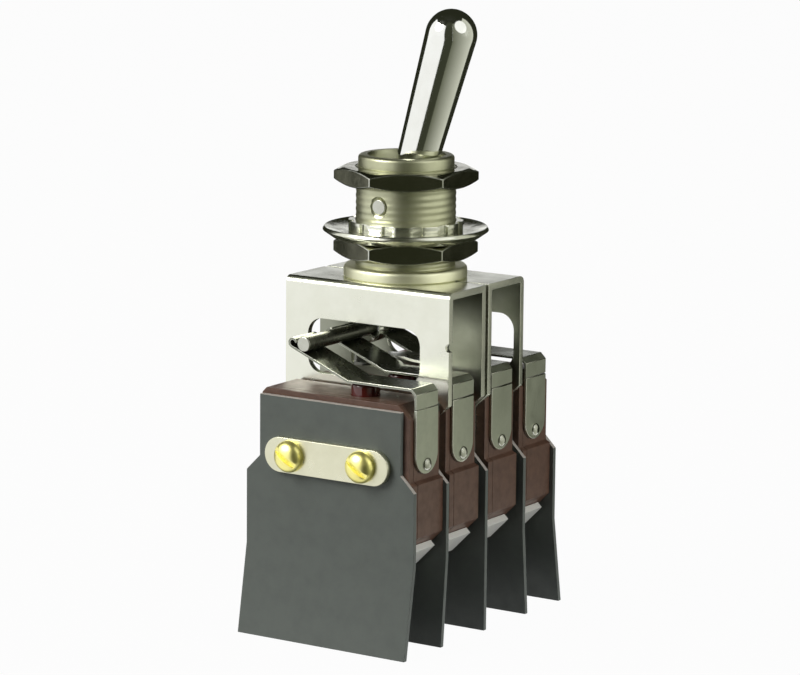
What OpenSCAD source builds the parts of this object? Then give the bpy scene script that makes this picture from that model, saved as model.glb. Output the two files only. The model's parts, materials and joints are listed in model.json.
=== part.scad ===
// Four-pole panel toggle switch. A bat-handle lever in a threaded bushing stands on two
// sheet-metal channels, and its lower end carries a bar that presses the leaf actuators of
// four snap-action switches. Insulating barriers part the switches, and two long screws
// clamp the stack between two straps.
//
// Millimetres. +Z is the bushing's axis and Y runs through the stack of switches. The origin
// is on the bushing's axis, in the plane that the back of the panel bears on.

/* [Lever] */
// Tilt of the lever from the bushing's axis when it is thrown
lever_tilt = 16.8; // [10:0.1:17]
// Distance from the pivot to the tip of the handle
lever_reach = 24.1; // [18:0.1:40]
// Diameter of the handle near its rounded tip
bat_d = 6.1; // [5:0.1:7]
// Diameter of the handle where it enters the bushing
bat_root_d = 4.9; // [4:0.1:5]
// Diameter of the ball round the pivot
ball_d = 7; // [6:0.1:8]
// Diameter of the stem below the pivot
stem_d = 3; // [2.4:0.1:3.4]
// Width of the flattened end of the stem
paddle_w = 3.2; // [2.4:0.1:3.4]
// Thickness of the flattened end of the stem
paddle_t = 2.2; // [1.6:0.1:2.8]
// Diameter of the eye that holds the bar
eye_d = 3.6; // [3.5:0.1:3.8]
// Diameter of the pivot pin
pivot_d = 1.8; // [1.2:0.1:2.4]
// Distance from the pivot down to the actuator bar
bar_arm = 16.2; // [15:0.1:16.4]
// Diameter of the actuator bar
bar_d = 1.8; // [1.2:0.1:2]
// How far the bar reaches past the outer leaves
bar_end = 0.1; // [0:0.1:1]

/* [Bushing] */
// Outside diameter of the threaded bushing
bushing_d = 11.9; // [11.5:0.1:13]
// Diameter of the bushing's bore
bore_d = 8.7; // [8.6:0.1:9.2]
// Length of the thread above the panel seat
thread_up = 7.8; // [7:0.1:12]
// Diameter of the plain end that leads the nut onto the thread
pilot_d = 11.4; // [11:0.1:11.5]
// Length of that plain end
pilot_h = 1.5; // [1:0.1:2]
// Height of the pivot above the channels
pivot_h = 8.8; // [8.4:0.1:9]
// Diameter of the collar that stands on the channels
collar_d = 14.7; // [14:0.1:16]
// Height of the collar
collar_h = 1.4; // [1:0.1:3]
// Diameter of the spigot through the channels
spigot_d = 11; // [10.6:0.1:11.4]
// Bare thread between the collar and the lower nut
bare_thread = 0.95; // [0.1:0.05:1.5]
// Width of the keyway along the thread
keyway_w = 1.6; // [1:0.1:2]
// Depth of the keyway
keyway_depth = 0.7; // [0.4:0.1:0.9]

/* [Panel fasteners] */
// Width of the panel nuts across their flats
nut_af = 14.9; // [14:0.1:17]
// Thickness of the lower nut
lower_nut_t = 2.3; // [1.5:0.1:3]
// Thickness of the upper nut
upper_nut_t = 2.1; // [1.5:0.1:3]
// Room left for the panel, up to the upper nut
panel_room = 4.25; // [3:0.05:4.5]
// Outside diameter of the locating ring, over its turned-up rim
ring_d = 19.8; // [18.5:0.1:22]
// Thickness of the locating ring's sheet
ring_t = 0.9; // [0.5:0.05:1.2]
// How far the rim of the locating ring turns up
rim_rise = 0.9; // [0.5:0.1:1.5]
// How far the lock washer reaches out past the thread
washer_w = 0.85; // [0.7:0.05:2]
// Thickness of the lock washer
washer_t = 1.15; // [0.4:0.05:1.3]
// Number of teeth round the lock washer
washer_teeth = 12; // [8:1:16]

/* [Channels] */
// Width of the channels along X
channel_w = 23; // [22:0.1:26]
// Thickness of the channels' sheet
sheet_t = 0.8; // [0.6:0.05:1]
// Depth of the channels' wide upper part
channel_h = 13.2; // [13:0.1:14]
// Depth of the legs, to their lower end between the switches
leg_h = 22.4; // [22:0.1:26]
// Width of the legs between the switches
leg_w = 19.2; // [17:0.1:19.6]
// Depth of the windows' top edge below the top of the channels
window_top = 4.7; // [4:0.1:5]
// Depth of the windows' bottom edge below the top of the channels
window_bottom = 11.3; // [11:0.1:11.9]
// Reach of the outer windows on one side
window_near = 7.5; // [7:0.1:8]
// Reach of the front window on its other side
window_far = 8.3; // [7.5:0.1:9]
// Sheet left beside the long end of the rear window
window_edge = 0.9; // [0.7:0.1:3]
// Radius of the windows' corners
window_r = 2; // [1:0.1:2.4]
// Half width of the slot that the lever swings in
slot_half = 6.9; // [6.7:0.1:7.2]
// Radius of that slot's corners
slot_r = 0.5; // [0.3:0.1:1]

/* [Switches] */
// Thickness of one switch, along the stack
switch_t = 6.35; // [6:0.05:7]
// Depth of the switches' top below the top of the channels
switch_top = 12.2; // [12.1:0.05:12.4]
// Height of a switch
switch_h = 18.8; // [18:0.1:22]
// How far the case stops short of the channels' side at its plain end
case_short = 1.5; // [0.6:0.1:1.7]
// How far it stops short of them at its end with the leaf
case_inset = 0.2; // [0:0.1:0.3]
// Depth of the recess that holds the leaf bracket
recess_depth = 0.6; // [0.5:0.05:0.8]
// Height of that recess
recess_h = 9; // [8.6:0.1:9.6]
// Thickness of the cover on each switch
cover_t = 1; // [0.8:0.05:1.1]
// Cut across the lower corners of the case
corner_cut = 3.2; // [2:0.1:3.4]
// Diameter of the plunger
plunger_d = 3.4; // [2.8:0.1:3.5]
// Place of the plunger along the switch
plunger_x = 2.5; // [1.5:0.1:3]
// How far the plunger stands out of the case at rest
plunger_out = 1.5; // [1.2:0.05:1.6]
// Travel of the plunger
plunger_travel = 0.5; // [0.2:0.05:0.55]
// Thickness of the terminals
terminal_t = 0.6; // [0.4:0.05:0.8]
// Length of the terminals below the case
terminal_out = 5.5; // [3:0.1:7]

/* [Leaf actuators] */
// Width of the leaves and their brackets
leaf_w = 4.6; // [3.6:0.1:4.8]
// Thickness of the leaves
leaf_t = 0.3; // [0.2:0.05:0.35]
// Thickness of the leaf brackets
leaf_bracket_t = 0.4; // [0.3:0.05:0.5]
// Length of the leaf brackets
leaf_bracket_h = 7.7; // [7:0.1:8]
// Slope of the leaves where the bar rests on them
leaf_slope = 22.5; // [21.5:0.5:25]
// Radius of the roll at the end of a leaf
roll_r = 0.5; // [0.4:0.05:0.6]

/* [Stack] */
// Thickness of the insulating barriers
barrier_t = 0.6; // [0.4:0.05:0.8]
// Width of the barriers' upper part
barrier_top_w = 19.8; // [19.4:0.1:21]
// How far the barriers' skirt reaches past the channels on each side
barrier_past = 0.3; // [0.1:0.1:1.5]
// Depth of the barriers' top edge below the top of the channels
barrier_top = 12.9; // [12.6:0.1:13.4]
// Depth of the barriers' lower edge below the top of the channels
barrier_bottom = 41.7; // [38:0.1:46]
// Depth at which the barriers widen
barrier_shoulder = 20.3; // [19:0.1:21.5]
// How far the skirt of each barrier leans out past that of its inner neighbour
barrier_splay = 0.9; // [0:0.1:1.2]
// Length of the clamping straps past each screw
strap_end = 3.65; // [2.5:0.05:4]
// Height of the clamping straps
strap_h = 4.2; // [4:0.1:5]
// Thickness of the clamping straps
strap_t = 0.8; // [0.6:0.1:1.2]
// Distance of the stack screws from the channels' sides
screw_inset = 6.5; // [6.3:0.1:7]
// Depth of the stack screws below the top of the channels
screw_depth = 19.7; // [19.2:0.1:20]
// Diameter of the stack screws
screw_d = 2.2; // [1.8:0.1:2.4]
// Diameter of the screws' round heads
screw_head_d = 3.8; // [3.4:0.1:4.2]
// Height of the screws' heads
screw_head_h = 1.5; // [1:0.1:1.8]
// Width of the stack nuts across their flats
stack_nut_af = 4.4; // [4:0.1:4.8]
// Thickness of the stack nuts
stack_nut_t = 1.6; // [1.2:0.1:2]

/* [Hidden] */
SWITCHES = [1, 2, 3, 4];
BARRIERS = [1, 2, 3, 4, 5];

// Clearances: a running fit, a slip fit, and air between parts that pass each other
run_gap = 0.05;
slip_gap = 0.05;
air_gap = 0.3;
fine = 64;
eps = 0.01;

// Heights, from the panel seat down to the top of the channels and up to the rim
ring_z = -washer_t - ring_t;
lower_nut_z = ring_z - lower_nut_t;
collar_top_z = lower_nut_z - bare_thread;
bracket_z = collar_top_z - collar_h;
pivot_z = bracket_z + pivot_h;

// Places along the stack, from its middle out to the front
inner_leg_y = barrier_t / 2 + sheet_t;
inner_switch_y = inner_leg_y + switch_t / 2;
outer_leg_y = inner_leg_y + switch_t + sheet_t;
outer_switch_y = outer_leg_y + barrier_t + switch_t / 2;
stack_half = outer_switch_y + switch_t / 2 + barrier_t;
switch_y = [-outer_switch_y, -inner_switch_y, inner_switch_y, outer_switch_y];
barrier_y = [
    -stack_half + barrier_t / 2, -outer_leg_y - barrier_t / 2, 0,
    outer_leg_y + barrier_t / 2, stack_half - barrier_t / 2
];

// Places along the width of the channels
barrier_w = channel_w + 2 * barrier_past;
window_rear = channel_w / 2 - window_edge;
case_far = channel_w / 2 - case_short;
case_near = channel_w / 2 - case_inset;
case_x = case_near - recess_depth;
screw_pitch = channel_w - 2 * screw_inset;
strap_l = screw_pitch + 2 * strap_end;
bracket_x = case_x + leaf_bracket_t / 2;

// The leaf turns about the top edge of its bracket. Its flat lies over the plunger, and the
// bar rests on its slope, beside its rolled end.
leaf_pivot_z = -switch_top - 0.4;
leaf_flat_z = -switch_top + plunger_out + 0.1 + leaf_t / 2;
slope_dir = [-cos(leaf_slope), sin(leaf_slope)];
slope_up = [sin(leaf_slope), cos(leaf_slope)];
bar_rest = [-bar_arm * sin(lever_tilt), pivot_h - bar_arm * cos(lever_tilt)];
bar_lift = bar_d / 2 + leaf_t / 2 + run_gap;
under_bar = bar_rest - bar_lift * slope_up;
leaf_elbow = under_bar + (leaf_flat_z - under_bar[1]) / sin(leaf_slope) * slope_dir;
roll_gap = bar_d / 2 + roll_r + leaf_t / 2 + run_gap;
roll_past = sqrt(pow(roll_gap, 2) - pow(bar_lift - roll_r, 2));
roll_centre = under_bar + roll_past * slope_dir + roll_r * slope_up;
bar_len = 2 * (outer_switch_y + leaf_w / 2 + bar_end);

// The walls inside a case
side_wall = 1.2;
roof_t = 1.5;
floor_t = 3.2;
boss_wall = 1;
flange_h = 0.5;
plunger_foot_z = -switch_top - roof_t - plunger_travel - 0.1 - flange_h;
blade_t = 0.25;
blade_z = plunger_foot_z - blade_t / 2 - 0.1;
blade_w = 2.4;
blade_slot = 0.8;
contact_t = 0.5;
contact_l = 1.2;
contact_gap = 0.12;
terminal_w = 1.2;
terminal_x = case_far - side_wall - 0.8;
blade_x = terminal_x - terminal_w / 2 - 0.2;
rivet_d = 0.9;
rivet_z = -switch_top - recess_h + 1.8;

screw_len = 2 * (stack_half + strap_t) + stack_nut_t + 0.6;

// ---- Helpers ----

// A strip of thickness t along a line of points, with mitred corners
function unit(v) = v / norm(v);
function left_of(v) = [-v[1], v[0]];
function side_point(p, i, t) =
    let (
        before = unit(i == 0 ? p[1] - p[0] : p[i] - p[i - 1]),
        after = unit(i == len(p) - 1 ? p[i] - p[i - 1] : p[i + 1] - p[i]),
        across = unit(left_of(before) + left_of(after))
    )
    p[i] + across * t / (across * left_of(before));
function strip(p, t) = concat(
    [for (i = [0 : len(p) - 1]) side_point(p, i, t / 2)],
    [for (i = [len(p) - 1 : -1 : 0]) side_point(p, i, -t / 2)]
);

module on_bracket() {
    translate([0, 0, bracket_z]) children();
}

// Extrudes a shape drawn in X and Z along Y, from y on for length l
module along_y(y, l) {
    translate([0, y + l, 0]) rotate([90, 0, 0]) linear_extrude(l) children();
}

module rod_along_y(x, z, d, y, l) {
    along_y(y, l) translate([x, z]) circle(d = d, $fn = fine);
}

// A rectangle from corner a to corner b with its corners rounded
module rounded_window(a, b, r) {
    translate([a[0], a[1] + r]) square([b[0] - a[0], b[1] - a[1] - 2 * r]);
    translate([a[0] + r, a[1]]) square([b[0] - a[0] - 2 * r, b[1] - a[1]]);
    for (x = [a[0] + r, b[0] - r], z = [a[1] + r, b[1] - r])
        translate([x, z]) circle(r, $fn = 32);
}

module screw_holes(y, l, d) {
    for (side = [-1, 1])
        rod_along_y(side * screw_pitch / 2, -screw_depth, d, y, l);
}

// ---- Lever ----

module lever_swing() {
    translate([0, 0, pivot_z]) rotate([0, lever_tilt, 0]) children();
}

// The turned profile: stem, ball, tapered handle and rounded tip
module lever_profile() {
    tip_r = bat_d / 2;
    neck_angle = acos(stem_d / ball_d);
    polygon(concat(
        [[0, -0.7 * bar_arm], [stem_d / 2, -0.7 * bar_arm]],
        [for (i = [0 : 8]) let (a = -neck_angle + i * (40 + neck_angle) / 8)
            ball_d / 2 * [cos(a), sin(a)]],
        [[bat_root_d / 2, ball_d / 2 + 0.4]],
        [for (a = [0 : 10 : 80]) [tip_r * cos(a), lever_reach - tip_r + tip_r * sin(a)]],
        [[0, lever_reach]]
    ));
}

module lever() {
    color([0.82, 0.83, 0.8])
    lever_swing()
    difference() {
        union() {
            rotate_extrude($fn = fine) lever_profile();
            translate([-paddle_w / 2, -paddle_t / 2, -bar_arm])
                cube([paddle_w, paddle_t, bar_arm / 3]);
            rod_along_y(0, -bar_arm, eye_d, -paddle_t / 2, paddle_t);
        }
        rod_along_y(0, 0, pivot_d + 2 * run_gap, -ball_d, 2 * ball_d);
        rod_along_y(0, -bar_arm, bar_d + 2 * eps, -paddle_t, 2 * paddle_t);
    }
}

// The pin ends inside the thread
module pivot_pin() {
    half = sqrt(pow(bushing_d / 2, 2) - pow(pivot_d / 2, 2));
    color([0.9, 0.9, 0.86])
    rod_along_y(0, pivot_z, pivot_d, -half, 2 * half);
}

module actuator_bar() {
    color([0.55, 0.56, 0.52])
    lever_swing() rod_along_y(0, -bar_arm, bar_d, -bar_len / 2, bar_len);
}

// A formed strip on the lower edges of the inner legs. Its middle hump lies just under the
// path of the stem's round end and holds the lever to either side.
module detent_spring() {
    thick = 0.35;
    width = 2 * inner_leg_y + 0.8;
    foot_z = -window_bottom + thick / 2;
    crest_z = pivot_h - bar_arm - eye_d / 2 - air_gap - thick / 2;
    side_x = slot_half - slot_r - thick;
    half = [
        [side_x - 1, foot_z], [side_x, foot_z], [side_x - 0.1, crest_z + 0.1],
        [side_x - 0.6, crest_z - 0.05], [side_x - 1.6, crest_z - 0.3], [2, crest_z - 0.2],
        [0.8, crest_z]
    ];
    color([0.62, 0.64, 0.6])
    on_bracket() along_y(-width / 2, width)
        polygon(strip(concat(
            half, [for (i = [len(half) - 1 : -1 : 0]) [-half[i][0], half[i][1]]]
        ), thick));
}

// ---- Bushing and its fasteners ----

module bushing() {
    spigot_z = bracket_z - sheet_t;
    color([0.62, 0.62, 0.52])
    difference() {
        rotate_extrude($fn = fine)
            polygon([
                [bore_d / 2 + 0.45, spigot_z], [spigot_d / 2, spigot_z], [spigot_d / 2, bracket_z],
                [collar_d / 2, bracket_z], [collar_d / 2, collar_top_z - 0.3],
                [collar_d / 2 - 0.3, collar_top_z], [bushing_d / 2, collar_top_z],
                [bushing_d / 2, thread_up - pilot_h], [pilot_d / 2, thread_up - pilot_h],
                [pilot_d / 2, thread_up - 0.4], [pilot_d / 2 - 0.4, thread_up],
                [bore_d / 2 + 0.3, thread_up], [bore_d / 2, thread_up - 0.5],
                [bore_d / 2, bracket_z]
            ]);
        translate([-keyway_w / 2, bushing_d / 2 - keyway_depth, collar_top_z])
            cube([keyway_w, bushing_d, thread_up - collar_top_z + 1]);
        rod_along_y(0, pivot_z, pivot_d, -bushing_d, 2 * bushing_d);
    }
}

// A hexagonal nut with both faces chamfered
module panel_nut(z, t) {
    turn = 33;
    corner_r = nut_af / sqrt(3);
    edge_r = nut_af / 2 - 0.1;
    over_r = corner_r + 0.5;
    bevel = (over_r - edge_r) * 0.45;
    translate([0, 0, z])
    difference() {
        intersection() {
            rotate([0, 0, turn]) cylinder(h = t, r = corner_r, $fn = 6);
            rotate_extrude($fn = fine)
                polygon([
                    [0, 0], [edge_r, 0], [over_r, bevel], [over_r, t - bevel],
                    [edge_r, t], [0, t]
                ]);
        }
        translate([0, 0, -1]) cylinder(h = t + 2, d = bushing_d + 2 * slip_gap, $fn = fine);
    }
}

module lower_nut() {
    color([0.6, 0.6, 0.52])
    panel_nut(lower_nut_z, lower_nut_t);
}

module upper_nut() {
    color([0.6, 0.6, 0.52])
    panel_nut(panel_room, upper_nut_t);
}

// A dished ring whose inner tab lies in the keyway
module locating_ring() {
    inner_r = bushing_d / 2 + slip_gap;
    flat_r = ring_d / 2 - 1.6;
    lip_r = ring_d / 2;
    color([0.72, 0.73, 0.66])
    translate([0, 0, ring_z]) {
        rotate_extrude($fn = fine)
            polygon([
                [inner_r, 0], [flat_r + 0.3, 0], [lip_r, rim_rise], [lip_r - 0.25, rim_rise + 0.45],
                [flat_r - 0.2, ring_t], [inner_r, ring_t]
            ]);
        translate([-keyway_w / 2 + slip_gap, inner_r - keyway_depth, 0])
            cube([keyway_w - 2 * slip_gap, keyway_depth + 0.3, ring_t]);
    }
}

module lock_washer() {
    washer_d = bushing_d + 2 * washer_w;
    tooth_w = 1.2;
    notch_depth = washer_w / 2;
    color([0.7, 0.71, 0.64])
    translate([0, 0, -washer_t])
    difference() {
        cylinder(h = washer_t, d = washer_d, $fn = fine);
        translate([0, 0, -1]) cylinder(h = washer_t + 2, d = bushing_d + 2 * slip_gap, $fn = fine);
        for (i = [0 : washer_teeth - 1])
            rotate([0, 0, (i + 0.5) * 360 / washer_teeth])
            translate([washer_d / 2 - notch_depth, -tooth_w / 2, -1])
                cube([2 * notch_depth, tooth_w, washer_t + 2]);
    }
}

// ---- Channels ----

// One leg, drawn in X and Z: wide above, narrower between the switches
module leg_outline() {
    w = channel_w / 2;
    n = leg_w / 2;
    polygon([
        [-w, 0], [w, 0], [w, -channel_h], [n, -channel_h - (w - n)], [n, -leg_h],
        [-n, -leg_h], [-n, -channel_h - (w - n)], [-w, -channel_h]
    ]);
}

// The front channel. The rear one is the same stamping turned round, with a longer window.
module channel(far_reach) {
    bend_r = sheet_t;
    spigot_hole = spigot_d + 2 * slip_gap;
    difference() {
        union() {
            // outer leg, inner leg and the web that joins them
            along_y(-outer_leg_y, sheet_t) leg_outline();
            along_y(-inner_leg_y, sheet_t) leg_outline();
            translate([-channel_w / 2, -outer_leg_y, -sheet_t])
                cube([channel_w, outer_leg_y - inner_leg_y + sheet_t, sheet_t]);
        }
        // rounded outside of the front bend
        translate([-channel_w / 2 - 1, -outer_leg_y, -bend_r])
        rotate([90, 0, 90]) linear_extrude(channel_w + 2)
            difference() {
                translate([-1, 0]) square([bend_r + 1, bend_r + 1]);
                translate([bend_r, 0]) circle(bend_r, $fn = 48);
            }
        along_y(-outer_leg_y - 1, sheet_t + 2)
            rounded_window([-far_reach, -window_bottom], [window_near, -window_top], window_r);
        along_y(-inner_leg_y - 1, sheet_t + 2)
            rounded_window([-slot_half, -window_bottom], [slot_half, 2 * slot_r], slot_r);
        cylinder(h = 3 * sheet_t, d = spigot_hole, center = true, $fn = fine);
        screw_holes(-outer_leg_y - 1, outer_leg_y + 2, screw_d + 2 * slip_gap);
        rod_along_y(channel_w / 2, -window_top - 1.7, 1, -outer_leg_y - 1, sheet_t + 2);
    }
}

module front_channel() {
    color([0.86, 0.87, 0.82]) on_bracket() channel(window_far);
}

module rear_channel() {
    color([0.86, 0.87, 0.82]) on_bracket() rotate([0, 0, 180]) channel(window_rear);
}

// ---- Switches, drawn at the middle of the stack ----

module at_switch(n) {
    on_bracket() translate([0, switch_y[n - 1], 0]) children();
}

module case_outline() {
    bottom = -switch_top - switch_h;
    shoulder = -switch_top - recess_h;
    polygon([
        [-case_far + 0.6, -switch_top], [case_x - 1.6, -switch_top],
        [case_x, -switch_top - 1.6], [case_x, shoulder], [case_near, shoulder - 0.3],
        [case_near, bottom + corner_cut], [case_near - corner_cut, bottom],
        [-case_far + corner_cut, bottom], [-case_far, bottom + corner_cut],
        [-case_far, -switch_top - 0.6]
    ]);
}

module switch_case(n) {
    back = switch_t / 2;
    split = -switch_t / 2 + cover_t;
    cavity_top = -switch_top - roof_t;
    cavity_bottom = -switch_top - switch_h + floor_t;
    color([0.36, 0.2, 0.14])
    at_switch(n)
    difference() {
        along_y(split, switch_t - cover_t) case_outline();
        difference() {
            along_y(split - 1, switch_t - cover_t)
                translate([-case_far + side_wall, cavity_bottom])
                square([case_far + case_x - 2 * side_wall, cavity_top - cavity_bottom]);
            screw_holes(split - 2, back - split + 4, screw_d + 2 * boss_wall);
        }
        screw_holes(split - 1, switch_t, screw_d + 2 * slip_gap);
        translate([plunger_x, 0, cavity_top - 1])
            cylinder(h = roof_t + 2, d = plunger_d + 2 * run_gap, $fn = fine);
        for (x = [-terminal_x, 0, terminal_x])
            translate([x, 0, cavity_bottom - floor_t / 2])
                cube([terminal_w + 2 * slip_gap, terminal_t + 2 * slip_gap, 2 * floor_t], center = true);
        translate([case_x, 0, rivet_z]) rotate([0, -90, 0])
            translate([0, 0, -1])
            cylinder(h = side_wall + 1 - 0.2, d = rivet_d + 2 * slip_gap, $fn = 32);
    }
}

module switch_cover(n) {
    color([0.4, 0.24, 0.17])
    at_switch(n)
    difference() {
        along_y(-switch_t / 2, cover_t) case_outline();
        screw_holes(-switch_t, switch_t, screw_d + 2 * slip_gap);
    }
}

module plunger(n) {
    dome = 0.45;
    stem_h = plunger_out - switch_top - plunger_foot_z - flange_h;
    color([0.42, 0.08, 0.07])
    at_switch(n)
    translate([plunger_x, 0, -switch_top + plunger_out])
    rotate_extrude($fn = fine)
        polygon([
            [0, 0], [plunger_d / 2 - dome, 0], [plunger_d / 2 - 0.13, -0.13],
            [plunger_d / 2, -dome], [plunger_d / 2, -stem_h], [plunger_d / 2 + 0.3, -stem_h],
            [plunger_d / 2 + 0.3, -stem_h - flange_h], [0, -stem_h - flange_h]
        ]);
}

// A spring strip over the common terminal, under the plunger, to the contacts
module snap_blade(n) {
    slot_x = -blade_x / 2;
    color([0.75, 0.6, 0.32])
    at_switch(n)
    difference() {
        along_y(-blade_w / 2, blade_w)
            polygon(strip([
                [-blade_x, blade_z - 0.2], [-blade_x / 2, blade_z - 0.25], [-1, blade_z],
                [terminal_x + 0.4, blade_z]
            ], blade_t));
        translate([slot_x, -blade_slot / 2, blade_z - 2])
            cube([plunger_x - 2 - slot_x, blade_slot, 4]);
    }
}

// Normally open, normally closed and common, each a stamped strip. The common one has a
// lug folded along the cut corner of the case.
module terminals(n) {
    tail = -switch_top - switch_h - terminal_out;
    lug_t = 0.8;
    lug_top = -switch_top - switch_h + 1.8;
    lug_gap = (lug_t / 2 + slip_gap) * sqrt(2);
    cut_line = case_near - corner_cut - (-switch_top - switch_h) + lug_gap;
    blade_top = blade_z - 0.2 + blade_t / 2;
    blade_bottom = blade_z - 0.2 - blade_t / 2;
    open_z = blade_bottom - contact_gap;
    arm_z = open_z - 2 * contact_t;
    color([0.8, 0.8, 0.74])
    at_switch(n) {
        along_y(-terminal_t / 2, terminal_t) {
            // common, under the blade's fixed end
            translate([terminal_x - terminal_w / 2, tail])
                square([terminal_w, blade_z - blade_t / 2 - 0.05 - tail]);
            // normally closed, with its contact over the blade
            translate([-terminal_x - terminal_w / 2, tail])
                square([terminal_w, blade_top + contact_gap + contact_t - tail]);
            translate([-terminal_x, blade_top + contact_gap])
                square([terminal_w / 2 + 0.2 + contact_l, contact_t]);
            // normally open, with its arm and contact under the blade
            translate([-terminal_w / 2, tail]) square([terminal_w, arm_z + contact_t - tail]);
            translate([-blade_x + 0.1, arm_z]) square([blade_x - 0.1, contact_t]);
            translate([-blade_x + 0.1, arm_z]) square([contact_l, 2 * contact_t]);
        }
        along_y(-leaf_w / 2, leaf_w)
            polygon(strip([
                [lug_top + cut_line, lug_top],
                [terminal_x, terminal_x - cut_line]
            ], lug_t));
    }
}

// ---- Leaf actuators ----

module leaf_bracket(n) {
    top = leaf_pivot_z - leaf_t / 2 - run_gap;
    end_z = top - leaf_bracket_h + leaf_w / 2;
    color([0.5, 0.53, 0.47])
    at_switch(n)
    translate([case_x, 0, 0])
    rotate([90, 0, 90])
    linear_extrude(leaf_bracket_t)
    difference() {
        union() {
            translate([-leaf_w / 2, end_z]) square([leaf_w, top - end_z]);
            intersection() {
                translate([0, end_z]) circle(d = leaf_w, $fn = 48);
                translate([-leaf_w, end_z - leaf_w]) square([2 * leaf_w, leaf_w + eps]);
            }
        }
        translate([0, rivet_z]) circle(d = rivet_d + 2 * slip_gap, $fn = 32);
    }
}

module leaf(n) {
    bend = 0.6;
    roll = [for (a = [-90 - leaf_slope : -40 : -330 - leaf_slope])
        roll_centre + roll_r * [cos(a), sin(a)]];
    color([0.5, 0.53, 0.47])
    at_switch(n)
    along_y(-leaf_w / 2, leaf_w)
        polygon(strip(concat(
            [
                [bracket_x, leaf_pivot_z - leaf_t / 2], [bracket_x, leaf_flat_z - bend],
                [bracket_x - bend, leaf_flat_z], leaf_elbow
            ],
            roll
        ), leaf_t));
}

module leaf_rivets() {
    head_r = 0.8;
    head_h = 0.38;
    shank_h = leaf_bracket_t + side_wall - 0.4;
    color([0.75, 0.76, 0.7])
    for (n = SWITCHES)
        at_switch(n)
        translate([case_x + leaf_bracket_t, 0, rivet_z])
        rotate([0, 90, 0])
        rotate_extrude($fn = 32)
            polygon([
                [0, -shank_h], [rivet_d / 2, -shank_h], [rivet_d / 2, 0], [head_r, 0],
                [head_r - 0.1, head_h / 2], [head_r / 2, 0.9 * head_h], [0, head_h]
            ]);
}

// ---- Barriers and clamping hardware ----

// A sheet, flat between the switches, whose skirt leans out from the middle of the stack
module barrier(n) {
    middle = (len(BARRIERS) + 1) / 2;
    bend_z = -switch_top - switch_h;
    drop = barrier_bottom + bend_z;
    lean_out = barrier_splay * (n - middle);
    shoulder_drop = (barrier_w - barrier_top_w) / 2;
    top = barrier_top_w / 2;
    skirt = barrier_w / 2;
    color([0.38, 0.41, 0.39])
    on_bracket()
    translate([0, barrier_y[n - 1], 0])
    difference() {
        intersection() {
            // the bent sheet, longer than its outline, and the outline that trims it
            translate([-barrier_w, 0, 0]) rotate([90, 0, 90]) linear_extrude(2 * barrier_w)
                polygon(strip([[0, 0], [0, bend_z], [1.5 * lean_out, bend_z - 1.5 * drop]], barrier_t));
            along_y(-barrier_w, 2 * barrier_w)
                polygon([
                    [-top, -barrier_top], [top, -barrier_top], [top, -barrier_shoulder],
                    [skirt, -barrier_shoulder - shoulder_drop], [skirt, -barrier_bottom],
                    [-skirt, -barrier_bottom], [-skirt, -barrier_shoulder - shoulder_drop],
                    [-top, -barrier_shoulder]
                ]);
        }
        screw_holes(-barrier_t, 2 * barrier_t, screw_d + 2 * slip_gap);
    }
}

// A flat strap with round ends, from y on
module strap(y) {
    color([0.82, 0.83, 0.78])
    on_bracket()
    difference() {
        along_y(y, strap_t)
            translate([0, -screw_depth]) {
                square([strap_l - strap_h, strap_h], center = true);
                for (side = [-1, 1])
                    translate([side * (strap_l - strap_h) / 2, 0]) circle(d = strap_h, $fn = 48);
            }
        screw_holes(y - 1, strap_t + 2, screw_d + 2 * slip_gap);
    }
}

module front_strap() { strap(-stack_half - strap_t); }

module rear_strap() { strap(stack_half); }

module stack_screws() {
    head_y = -stack_half - strap_t;
    slot_w = 0.6;
    color([0.8, 0.68, 0.3])
    on_bracket()
    for (side = [-1, 1])
        translate([side * screw_pitch / 2, head_y, -screw_depth])
        difference() {
            rotate([-90, 0, 0])
                rotate_extrude($fn = 48)
                polygon(concat(
                    [[0, -screw_head_h]],
                    [for (a = [75 : -15 : 0])
                        [screw_head_d / 2 * cos(a), -screw_head_h * (0.2 + 0.8 * sin(a))]],
                    [[screw_head_d / 2, 0], [screw_d / 2, 0], [screw_d / 2, screw_len], [0, screw_len]]
                ));
            rotate([0, 35, 0]) translate([-screw_head_d, -screw_head_h - 1, -slot_w / 2])
                cube([2 * screw_head_d, 1.6, slot_w]);
        }
}

module stack_nuts() {
    color([0.8, 0.68, 0.3])
    on_bracket()
    for (side = [-1, 1])
        translate([side * screw_pitch / 2, stack_half + strap_t, -screw_depth])
        rotate([-90, 0, 0])
        difference() {
            cylinder(h = stack_nut_t, d = stack_nut_af * 2 / sqrt(3), $fn = 6);
            translate([0, 0, -1]) cylinder(h = stack_nut_t + 2, d = screw_d + 2 * eps, $fn = fine);
        }
}

// ---- One line for each node ----

lever();
pivot_pin();
actuator_bar();
detent_spring();
bushing();
lower_nut();
locating_ring();
lock_washer();
upper_nut();
front_channel();
rear_channel();
for (n = SWITCHES) {
    switch_case(n);
    switch_cover(n);
    plunger(n);
    snap_blade(n);
    terminals(n);
    leaf_bracket(n);
    leaf(n);
}
leaf_rivets();
for (n = BARRIERS)
    barrier(n);
front_strap();
rear_strap();
stack_screws();
stack_nuts();
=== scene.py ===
import json
import math

import bmesh
import bpy
from mathutils import Matrix, Vector


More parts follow.
